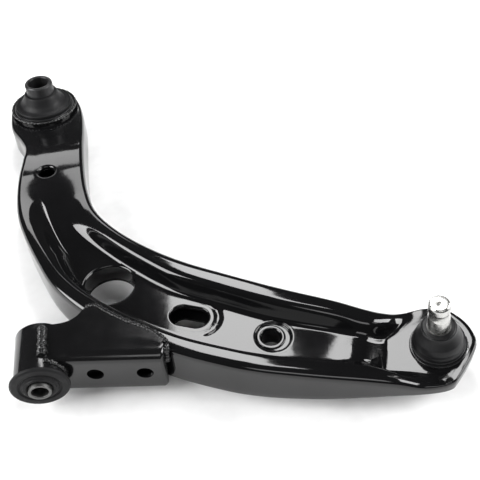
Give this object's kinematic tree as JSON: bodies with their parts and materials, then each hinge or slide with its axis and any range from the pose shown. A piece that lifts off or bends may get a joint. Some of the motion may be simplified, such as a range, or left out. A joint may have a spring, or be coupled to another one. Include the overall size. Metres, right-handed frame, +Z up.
{
  "type": "suspension control arm",
  "caption": "Welded sheet-steel front lower control arm with a lying front bush, an upright rear bush and a pinch-bolt ball joint under a rubber boot.",
  "frame": {"origin": "centre of the front bush, on its bore axis", "axes": "+Y from the front bush to the rear bush along the arm's pivot axis, +X outboard to the ball joint, +Z up along the rear bush"},
  "size_m": [0.3665, 0.4492, 0.0842],
  "materials": {
    "gloss_black": "gloss",
    "satin_black": "satin",
    "weld_black": "gloss",
    "bush_rubber": "matte",
    "boot_rubber": "satin",
    "bare_steel": "satin",
    "grey_steel": "matte",
    "zinc_steel": "satin",
    "seat_plastic": "satin"
  },
  "bodies": {
    "arm": {"shell_leg": "gloss_black", "shell_outer_rail": "gloss_black", "shell_inner_rail": "gloss_black", "shell_floor": "gloss_black", "shell_ball_end": "gloss_black", "closing_plate": "gloss_black", "front_bracket": "gloss_black", "eye_tube": "gloss_black", "front_outer_sleeve": "bare_steel", "front_rubber": "bush_rubber", "rear_housing": "gloss_black", "rear_outer_sleeve": "grey_steel", "rear_rubber": "bush_rubber", "link_spacer": "satin_black", "ball_housing": "satin_black", "bearing_seat": "seat_plastic", "preload_disc": "bare_steel", "housing_cap": "zinc_steel", "boot_base_ring": "satin_black", "bracket_seam_weld": "weld_black", "bracket_end_weld": "weld_black", "eye_top_weld": "weld_black", "eye_side_weld": "weld_black", "closing_seam_weld": "weld_black", "rear_collar_weld": "weld_black"},
    "front_sleeve": {"front_inner_sleeve": "bare_steel"},
    "rear_sleeve": {"rear_inner_sleeve": "grey_steel"},
    "boot": {"dust_boot": "boot_rubber"},
    "boot_neck": {"boot_neck_ring": "satin_black", "boot_collar": "bare_steel"},
    "stud": {"ball_stud": "zinc_steel"}
  },
  "joints": [
    {"name": "front_bush_twist", "type": "hinge", "parent": "arm", "child": "front_sleeve", "pos_m": [0, 0, 0], "axis": [0, 1, 0], "range_deg": [-20, 20], "stiffness_Nm_per_rad": 20},
    {"name": "rear_bush_tilt", "type": "hinge", "parent": "arm", "child": "rear_sleeve", "pos_m": [0, 0.332, 0], "axis": [0, 1, 0], "range_deg": [-12, 12], "stiffness_Nm_per_rad": 60, "deforming": ["rear_rubber"]},
    {"name": "ball_rock", "type": "hinge", "parent": "arm", "child": "boot", "pos_m": [0.301, -0.0435, -0.0085], "axis": [0.9877, 0, 0.1564], "range_deg": [-18, 18], "deforming": ["dust_boot"]},
    {"name": "ball_swing", "type": "hinge", "parent": "boot", "child": "boot_neck", "pos_m": [0.301, -0.0435, -0.0085], "axis": [0, 1, 0], "range_deg": [-18, 18], "deforming": ["dust_boot"]},
    {"name": "stud_spin", "type": "hinge", "parent": "boot_neck", "child": "stud", "pos_m": [0.301, -0.0435, -0.0085], "axis": [-0.1564, 0, 0.9877], "continuous": true}
  ]
}
